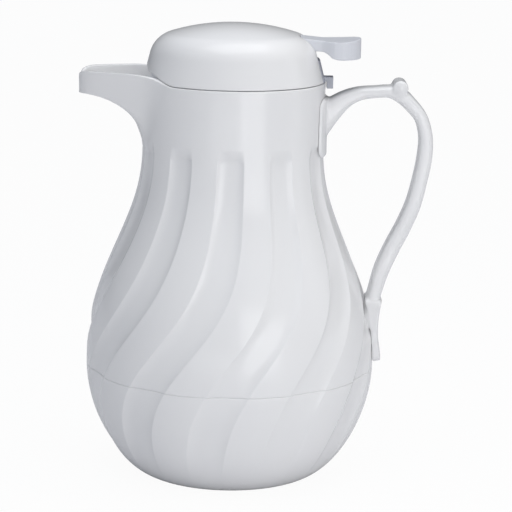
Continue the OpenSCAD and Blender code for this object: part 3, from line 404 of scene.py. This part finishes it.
# how far along the height and the depth of a rounded edge its rows lie
seamRound = [(0.45, 0.12), (0.1, 0.5), (0, 1)]
rimRound = [(0.55, 0.12), (0.87, 0.45), (1, 1)]
# radii where rows meet the spout's keel outside and the channel's floor inside
keelRows = [53.2, 53.6] + [54 + 0.9 * i for i in range(40)] + [89.5, 89.8]
channelRows = [89, 87, 85, 82.5, 80, 77.5, 75, 73, 71, 69.5]
rowCounts = {"shell": 90, "rim": 9, "wall": 40, "bowl": 60, "bowlWall": 20}


def bodyRing(z, radius, height=None):
    points = []
    for straight in columns:
        level = z if height is None else height(wrapAngle(straight - 180))
        a = straight - fluteTurn(level)
        points.append(onCircle(radius(a, level), a, level))
    return points


def plainRings(profile):
    return [bodyRing(z, lambda a, level, r=r: r) for r, z in profile]


def wallRings(levels):
    return [bodyRing(z, lambda a, level: wallRadius(level)) for z in levels]


def seamRing(direction, lift, cut):
    edge = body["seamEdge"]
    return bodyRing(body["seamZ"] + direction * edge * lift, lambda a, z: outerRadius(a, z) - edge * cut)


def rimRing(radius, lift, inset):
    edge = spout["rimEdge"]
    return bodyRing(0, lambda a, z: radius(a, z) + inset, lambda s: rimHeight(s) - edge + edge * lift)


def finishShell(name, rings, first, last, nodeName):
    # only the rings from first up to last carry the flutes
    obj = ringsMesh(name, rings, loop=True)
    count = len(columns)
    after = len(rings) - last
    cutFlutes(obj, [0.0] * (first * count) + [1.0] * ((last - first) * count) + [0.0] * (after * count))
    smoothShade(obj, 40)
    wearPiece(obj, "server", nodeName, whitePolypropylene)


def makeUpperShell():
    low, e, floor = body["seamZ"], spout["rimEdge"], body["galleryZ"]
    keelEnd = spout["lowZ"] + 0.15  # just over the last row on the keel
    channelEnd = spout["lowZ"] + spout["wall"] + 0.3
    rings = [seamRing(1, lift, cut) for lift, cut in reversed(seamRound)]
    levels = spread(low + body["seamEdge"], spout["rootZ"], rowCounts["shell"])
    levels += [keelHeight(r) for r in keelRows]
    rings += [bodyRing(z, outerRadius) for z in levels]
    rings += [bodyRing(0, outerRadius, lambda s, u=share: keelEnd + (rimHeight(s) - e - keelEnd) * u)
              for share in spread(0, 1, rowCounts["rim"])]
    rings += [rimRing(outerRadius, lift, -e * cut) for lift, cut in rimRound]
    outerCount = len(rings)
    rings += [rimRing(channelRadius, lift, e * cut) for lift, cut in reversed(rimRound)]
    rings += [bodyRing(0, channelRadius,
                       lambda s, u=share: rimHeight(s) - e - (rimHeight(s) - e - channelEnd) * u)
              for share in spread(0, 1, rowCounts["rim"])]
    floorLevels = [keelHeight(r) + spout["wall"] for r in channelRows]
    rings += [bodyRing(z, channelRadius) for z in floorLevels if z > floor] + [bodyRing(floor, channelRadius)]
    rings += wallRings([floor] + spread(floor - 3, low, rowCounts["wall"]))
    finishShell("upperShellMoulding", rings, 0, outerCount, "upper_shell")


def makeLowerBowl():
    b = body
    floor, ring = b["footRecess"] + b["wall"], b["footR"] - b["footRing"]
    tongue = wallRadius(b["seamZ"]) - b["tongueGap"]
    tongueTop, tongueFoot = b["seamZ"] + b["tongueHeight"], b["seamZ"] - b["tongueHeight"]
    rings = plainRings([
        (b["fillHoleR"], floor), (b["fillHoleR"], b["footRecess"]), (ring - b["recessEdge"], b["footRecess"]),
        (ring, b["footRecess"] - b["footEdge"]), (ring, b["footEdge"]),
        (ring + b["footEdge"], 0), (b["footR"], 0)])
    first = len(rings)
    # rows are close together at the foot, where the curve is tightest
    rings += [bodyRing((b["seamZ"] - b["seamEdge"]) * share ** 1.7, outerRadius)
              for share in spread(0, 1, rowCounts["bowl"])[1:]]
    rings += [seamRing(-1, lift, cut) for lift, cut in seamRound]
    last = len(rings)
    rings += plainRings([
        (tongue, b["seamZ"]), (tongue, tongueTop), (tongue - b["tongueWall"], tongueTop),
        (tongue - b["tongueWall"], tongueFoot)])
    rings += wallRings(spread(tongueFoot - 0.5, floor, rowCounts["bowlWall"]))
    finishShell("lowerBowlMoulding", rings, first, last, "lower_bowl")


makeUpperShell()
makeLowerBowl()
print("fluted body made")

# ---- handle ----
handle = {
    "width": 18, "reach": 116.6, "sides": 40, "stepsPerStation": 5, "squareness": 0.55,
    "lowZ": 88, "topZ": 228.7, "thick": 9,
    "plateAngle": 22, "plateLowZ": 190.5, "plateTopZ": 225.5, "plateProud": 1.9, "plateCorner": 7,
    "plateCells": 40, "plateEdge": 0.4, "plateLift": 0.05,
    "footLowZ": 68.3, "footTopZ": 106, "footWidth": 24, "footProud": 3.8, "footEven": 12, "footFlare": 6.6,
    "footToe": 1.2, "footCorner": 3,
    "thumbR": 4.5, "thumbX": 96.6, "thumbZ": 231.4, "thumbHalfWidth": 11, "thumbEnd": 1.6, "thumbRound": 1.7,
    "thumbSides": 32, "voxel": 0.7, "softening": 6,
    "stations": [  # shares of: the way from the body to the reach, the height, the thickness, the width
        (-0.095, 0.853, 2.22, 1.11), (0.045, 0.912, 1.56, 1.08), (0.179, 0.962, 1.09, 1),
        (0.31, 0.988, 0.84, 0.94), (0.454, 0.997, 0.73, 0.94), (0.589, 1, 0.78, 1),
        (0.691, 0.985, 0.96, 1.06), (0.786, 0.948, 0.91, 1), (0.888, 0.891, 0.87, 1),
        (0.936, 0.81, 0.91, 1), (0.931, 0.725, 0.97, 1), (0.894, 0.633, 0.97, 1),
        (0.828, 0.529, 1, 1), (0.713, 0.434, 1.02, 1), (0.547, 0.341, 1.04, 1),
        (0.361, 0.249, 1, 1.06), (0.196, 0.163, 0.91, 1.11), (0.037, 0.078, 0.89, 1.17),
        (-0.128, 0, 0.67, 1.17)],
}


def gripStations():
    h, stations = handle, []
    for out, up, thick, wide in h["stations"]:
        z = h["lowZ"] + (h["topZ"] - h["lowZ"]) * up
        near = bodyRadius(z)
        stations.append((near + (h["reach"] - near) * out, z, h["thick"] * thick, h["width"] * wide))
    return stations


def alongGrip(stations, t):
    # a smooth curve through the stations
    i = min(int(t), len(stations) - 2)
    u = t - i
    a, b, c, d = (stations[min(max(i + k, 0), len(stations) - 1)] for k in (-1, 0, 1, 2))
    return [(2 * q + (r - p) * u + (2 * p - 5 * q + 4 * r - s) * u * u + (3 * q - p - 3 * r + s) * u ** 3) / 2
            for p, q, r, s in zip(a, b, c, d)]


def squared(value):
    return math.copysign(abs(value) ** handle["squareness"], value)


def makeGrip():
    stations = gripStations()
    last = len(stations) - 1
    endGap, step = 0.02, 0.01
    rings = []
    for j in range(last * handle["stepsPerStation"] + 1):
        t = min(max(j / handle["stepsPerStation"], endGap), last - endGap)
        x, z, thick, wide = alongGrip(stations, t)
        ahead, behind = alongGrip(stations, t + step), alongGrip(stations, t - step)
        dx, dz = ahead[0] - behind[0], ahead[1] - behind[1]
        size = math.hypot(dx, dz)
        ring = []
        for k in range(handle["sides"]):
            w = 2 * math.pi * (k + 0.5) / handle["sides"]
            c, s = squared(math.cos(w)), squared(math.sin(w))
            ring.append((x - dz / size * thick / 2 * s, wide / 2 * c, z + dx / size * thick / 2 * s))
        rings.append(ring)
    middle = [tuple(sum(p[i] for p in ring) / len(ring) for i in range(3)) for ring in (rings[0], rings[-1])]
    return ringsMesh("grip", rings, startTip=middle[0], endTip=middle[1])


def makePlate(name, lowZ, topZ, halfAngle, proud, corner):
    # a patch of the body's surface, raised by proud, with round corners and rounded edges
    cells = handle["plateCells"]
    outer, inner = [], []
    halfHeight, midZ = (topZ - lowZ) / 2, (topZ + lowZ) / 2
    halfWidth = math.radians(halfAngle) * bodyRadius(midZ)
    for j in range(cells + 1):
        for i in range(cells + 1):
            x, y = (2 * i / cells - 1) * halfWidth, (2 * j / cells - 1) * halfHeight
            overX, overY = abs(x) - (halfWidth - corner), abs(y) - (halfHeight - corner)
            if overX > 0 and overY > 0:
                # corner squares are drawn onto quarter circles
                scale = max(overX, overY) / math.hypot(overX, overY)
                x = math.copysign(halfWidth - corner + overX * scale, x)
                y = math.copysign(halfHeight - corner + overY * scale, y)
            z = midZ + y
            a = math.degrees(x / bodyRadius(midZ))
            raised = handle["plateEdge"] if min(i, j, cells - i, cells - j) == 0 else proud(z)
            outer.append(onCircle(bodyRadius(z) + raised, a, z))
            inner.append(onCircle(bodyRadius(z) + handle["plateLift"], a, z))
    base, wide = len(outer), cells + 1
    faces = []
    for j in range(cells):
        for i in range(cells):
            p = j * wide + i
            faces.append((p, p + 1, p + wide + 1, p + wide))
            faces.append((base + p + wide, base + p + wide + 1, base + p + 1, base + p))
    rim = ([(0, i) for i in range(cells)] + [(j, cells) for j in range(cells)]
           + [(cells, i) for i in range(cells, 0, -1)] + [(j, 0) for j in range(cells, 0, -1)])
    ids = [j * wide + i for j, i in rim]
    for p, q in zip(ids, ids[1:] + ids[:1]):
        faces.append((base + p, base + q, q, p))
    return newObject(name, outer + inner, faces)


def footProud(z):
    h = handle
    up = z - h["footLowZ"] - h["footEven"]
    share = up / (h["footTopZ"] - h["footLowZ"] - h["footEven"]) if up > 0 else up / h["footEven"]
    return h["footProud"] + (h["footFlare"] * share ** 2 if up > 0 else -h["footToe"] * share)


def makeThumbRest():
    # a low round bar across the grip, with rounded ends
    h = handle
    half, x, z = h["thumbHalfWidth"], h["thumbX"], h["thumbZ"]
    turns = [2 * math.pi * k / h["thumbSides"] for k in range(h["thumbSides"])]
    rings = []
    for y in spread(-half, half, 16):
        beyond = max(abs(y) - half + h["thumbEnd"], 0)
        r = h["thumbR"] * math.sqrt(max(1 - beyond ** 2 / h["thumbRound"] ** 2, 0.02))
        rings.append([(x + r * math.cos(turn), y, z + r * math.sin(turn)) for turn in turns])
    return ringsMesh("thumbRest", rings, startTip=(x, -half, z), endTip=(x, half, z))


def joinObjects(name, parts):
    shape = bmesh.new()
    for part in parts:
        shape.from_mesh(part.data)
        bpy.data.objects.remove(part)
    bmesh.ops.recalc_face_normals(shape, faces=shape.faces)
    return objectFromShape(name, shape)


def makeHandle():
    h = handle
    footAngle = math.degrees(math.asin(h["footWidth"] / 2 / body["bellyR"]))
    obj = joinObjects("loopHandle", [
        makeGrip(), makeThumbRest(),
        makePlate("neckPlate", h["plateLowZ"], h["plateTopZ"], h["plateAngle"],
                  lambda z: h["plateProud"], h["plateCorner"]),
        makePlate("footPlate", h["footLowZ"], h["footTopZ"], footAngle, footProud, h["footCorner"]),
    ])
    fuse(obj, h["voxel"], h["softening"])
    smoothShade(obj, 60)
    wearPiece(obj, "server", "handle", whitePolypropylene)


makeHandle()
print("handle made")

# ---- lid dome ----
dome = {
    "r": 53, "lowZ": 234, "height": 32.8, "lean": 14.6, "shoulderR": 17, "crownR": 126, "wall": 2.2,
    "archHeight": 9, "archAngle": 30, "archGap": 0.4, "edge": 0.25,
    "columns": 256, "arcRows": 26, "tipGap": 0.012,
    "slotX": 37.5, "slotEndX": 70, "slotHalfWidth": 11.6, "slotLowZ": 220, "slotTopZ": 280,
    "edgeRound": [(0.15, 0.5), (0.5, 0.15), (1, 0)],  # shares into the wall and up, row by row
}


def domeProfile():
    # arcs from the shoulder to the crown, over a straight leaning side
    d = dome
    lean = math.radians(d["lean"])
    crownZ = d["lowZ"] + d["height"] - d["crownR"]
    reach = d["r"] * math.cos(lean) + d["lowZ"] * math.sin(lean) - d["shoulderR"]
    cx, cz = reach * math.cos(lean), reach * math.sin(lean)
    b = -math.sin(lean) * cx + math.cos(lean) * (cz - crownZ)
    s = -b + math.sqrt(b * b + (d["crownR"] - d["shoulderR"]) ** 2 - cx ** 2 - (cz - crownZ) ** 2)
    centre = (cx - math.sin(lean) * s, cz + math.cos(lean) * s)
    joinA = math.atan2(centre[1] - crownZ, centre[0])
    arcs = [(centre, d["shoulderR"], a) for a in spread(lean, joinA, d["arcRows"])]
    crownAngles = spread(joinA, math.pi / 2 - d["tipGap"], d["arcRows"])[1:]
    return arcs + [((0, crownZ), d["crownR"], a) for a in crownAngles], lean, crownZ


def archHeight(a):
    d, s = dome, wrapAngle(a - 180)
    arch = d["lowZ"]
    if abs(s) < d["archAngle"]:
        arch += d["archHeight"] * math.cos(math.radians(90 * s / d["archAngle"]))
    return max(rimHeight(s) + d["archGap"], arch)


def makeDome():
    d = dome
    e, w = d["edge"], d["wall"]
    arcs, lean, crownZ = domeProfile()
    angles = [360 * i / d["columns"] for i in range(d["columns"])]
    (cx, cz), r0, _ = arcs[0]

    def sideRing(off, drop, share):
        # a ring on the straight side, share of the way from the arch's edge up to the shoulder
        points = []
        topZ = cz + (r0 - off) * math.sin(lean)
        for a in angles:
            low = archHeight(a) + drop
            z = low + (topZ - low) * share
            r = cx + (r0 - off) * math.cos(lean) + (topZ - z) * math.tan(lean)
            points.append(onCircle(r, a, z))
        return points

    def arcRing(off, centre, r, a):
        x, z = centre[0] + (r - off) * math.cos(a), centre[1] + (r - off) * math.sin(a)
        return [onCircle(x, angle, z) for angle in angles]

    inner = [arcRing(w, *arc) for arc in reversed(arcs)]
    inner += [sideRing(w, e, share) for share in spread(0.9, 0, 6)]
    edge = [sideRing(w - e * cut, e * lift, 0) for cut, lift in d["edgeRound"]]
    edge += [sideRing(e * cut, e * lift, 0) for cut, lift in reversed(d["edgeRound"])]
    outer = [sideRing(0, e, share) for share in spread(0, 0.95, 14)] + [arcRing(0, *arc) for arc in arcs]
    top = crownZ + d["crownR"]
    obj = ringsMesh("domeCover", inner + edge + outer, startTip=(0, 0, top - w), endTip=(0, 0, top))
    half = d["slotHalfWidth"]
    corners = [(x, y, z) for x in (d["slotX"], d["slotEndX"]) for y in (-half, half)
               for z in (d["slotLowZ"], d["slotTopZ"])]
    cutter = newObject("slotCutter", corners, [
        (0, 1, 3, 2), (4, 6, 7, 5), (0, 4, 5, 1), (2, 3, 7, 6), (0, 2, 6, 4), (1, 5, 7, 3)])
    slot = obj.modifiers.new("slot", "BOOLEAN")
    slot.operation, slot.solver, slot.object = "DIFFERENCE", "EXACT", cutter
    applyModifiers(obj)
    bpy.data.objects.remove(cutter)
    smoothShade(obj, 35)
    wearPiece(obj, "lid", "lid_dome", whitePolypropylene)


makeDome()
print("dome made")

# ---- lever and catch: the solid shapes with their moulded edges softened ----


def softCopy(nodeName, name, voxel, softening):
    shape = bmesh.new()
    shape.from_mesh(nodes[nodeName].data)
    bmesh.ops.remove_doubles(shape, verts=shape.verts, dist=0.005 * mm)
    obj = objectFromShape(name, shape)
    fuse(obj, voxel, softening)
    smoothShade(obj, 60)
    return obj


leverMoulding = softCopy("thumb_lever", "leverMoulding", voxel=0.4, softening=5)
wearPiece(leverMoulding, "lever", "thumb_lever", leverPaintedShade)
catchMoulding = softCopy("lid_catch", "catchMoulding", voxel=0.3, softening=3)
wearPiece(catchMoulding, "lid", "lid_catch", catchPaintedShade)
print("lever and catch made")

# ---- finishes of the pieces that keep their solid's shape ----
finishes = [
    (whitePolypropylene, ["neck_collar", "foam_fill_plug"]),
    (palePolypropylene, ["inner_liner", "lid_base", "stopper_cup", "stem_guide", "valve_stem", "stem_cap",
                         "valve_disc"]),
    (siliconeRubber, ["neck_gasket", "stopper_gasket", "stem_seal", "valve_seal"]),
    (stainlessSteel, ["handle_screws", "dome_screws", "stopper_screws", "lever_pin", "stem_nut",
                      "return_spring"]),
    (insulationFoam, ["foam_insulation"]),
]
for material, nodeNames in finishes:
    for nodeName in nodeNames:
        mesh = nodes[nodeName].data
        mesh.materials.clear()
        mesh.materials.append(material)
print("finishes given")

# ---- studio ----
studio = {
    "cameraPlace": (14.7, -1200, 384.7), "pitch": 77.97, "roll": 1.10, "lens": 145.55, "sensor": 36,
    "nearClip": 0.05, "farClip": 50,
    "room": {"left": 0.46, "right": 0.62, "front": 1.0, "back": 0.12, "upperFront": 0.35, "above": 2.2,
             "depthSpan": (-0.4, 0.8), "heightSpan": (0, 0.5), "aboveSpan": (0.35, 0.95),
             "leftColour": "#e1e8f4", "rightColour": "#f8f7f6"},
    "floorHalf": 4000, "shadowShare": 0.05,
    "lamps": [  # name, place, aim, size across and up, watts, colour
        ("keyLamp", (320, -700, 150), (0, 0, 100), (420, 560), 1.6, "#ffffff"),
        ("frontLamp", (-60, -760, 50), (0, 0, 110), (640, 180), 0.3, "#ffffff"),
        ("topLamp", (40, -120, 900), (0, -40, 100), (700, 500), 1.9, "#ffffff"),
        ("sideLamp", (900, -100, 300), (0, 0, 130), (300, 700), 0.35, "#f6f7fa"),
    ],
}


def makeCamera():
    camera = linkObject("camera", bpy.data.cameras.new("camera"))
    camera.data.lens, camera.data.sensor_width = studio["lens"], studio["sensor"]
    camera.data.clip_start, camera.data.clip_end = studio["nearClip"], studio["farClip"]
    camera.matrix_world = (Matrix.Translation(Vector(studio["cameraPlace"]) * mm)
                           @ Matrix.Rotation(math.radians(studio["pitch"]), 4, "X")
                           @ Matrix.Rotation(math.radians(studio["roll"]), 4, "Z"))
    bpy.context.scene.camera = camera


def makeLamps():
    for name, place, aim, size, watts, colour in studio["lamps"]:
        lamp = bpy.data.lights.new(name, "AREA")
        lamp.shape, lamp.size, lamp.size_y = "RECTANGLE", size[0] * mm, size[1] * mm
        lamp.energy, lamp.color = watts, linear(colour)[:3]
        holder = linkObject(name, lamp)
        holder.location = Vector(place) * mm
        holder.rotation_mode = "QUATERNION"
        holder.rotation_quaternion = (Vector(aim) - Vector(place)).to_track_quat("-Z", "Y")


def makeWorld():
    world = bpy.data.worlds.new("studioWorld")
    world.use_nodes = True
    tree = world.node_tree
    tree.nodes.clear()
    room = studio["room"]
    generated = addNode(tree, "ShaderNodeTexCoord").outputs["Generated"]
    x, y, z = addNode(tree, "ShaderNodeSeparateXYZ", {0: generated}).outputs
    # the room is dim and bluish on the left, brighter low in front and overhead, dark behind
    side = ramp(tree, x, (-1, 1), (room["left"], room["right"]))
    depth = ramp(tree, y, room["depthSpan"], (room["front"], room["back"]))
    height = ramp(tree, z, room["heightSpan"], (1, room["upperFront"]))
    above = ramp(tree, z, room["aboveSpan"], (room["back"], room["above"]))
    brightest = maths(tree, "MAXIMUM", maths(tree, "MULTIPLY", depth, height), above)
    soft = addNode(tree, "ShaderNodeBackground", {
        "Color": blendColours(tree, ramp(tree, x, (-1, 1), (0, 1)), room["leftColour"], room["rightColour"]),
        "Strength": maths(tree, "MULTIPLY", side, brightest)})
    white = addNode(tree, "ShaderNodeBackground", {"Color": linear("#ffffff"), "Strength": 1.0})
    path = addNode(tree, "ShaderNodeLightPath")
    seen = maths(tree, "MAXIMUM", path.outputs["Is Camera Ray"], path.outputs["Is Transmission Ray"])
    both = addNode(tree, "ShaderNodeMixShader", {0: seen, 1: soft.outputs[0], 2: white.outputs[0]})
    addNode(tree, "ShaderNodeOutputWorld", {"Surface": both.outputs[0]})
    bpy.context.scene.world = world


def makeFloor():
    far = studio["floorHalf"]
    corners = [(-far, -far, 0), (far, -far, 0), (far, far, 0), (-far, far, 0)]
    floor = newObject("studioFloor", corners, [(0, 1, 2, 3)])
    material, tree = newMaterial("paleFloor")
    path = addNode(tree, "ShaderNodeLightPath")
    paper = addNode(tree, "ShaderNodeBsdfDiffuse", {"Color": linear("#e6e6e8")})
    white = addNode(tree, "ShaderNodeEmission", {"Color": linear("#ffffff"), "Strength": 1.0})
    # the camera sees almost pure white, with a small share of the floor's real shading for the shadow
    share = maths(tree, "MULTIPLY", path.outputs["Is Camera Ray"], 1 - studio["shadowShare"])
    both = addNode(tree, "ShaderNodeMixShader", {0: share, 1: paper.outputs[0], 2: white.outputs[0]})
    finishMaterial(tree, both)
    floor.data.materials.append(material)


makeCamera()
makeLamps()
makeWorld()
makeFloor()
bpy.context.scene.view_settings.view_transform = "Standard"
print("studio made")
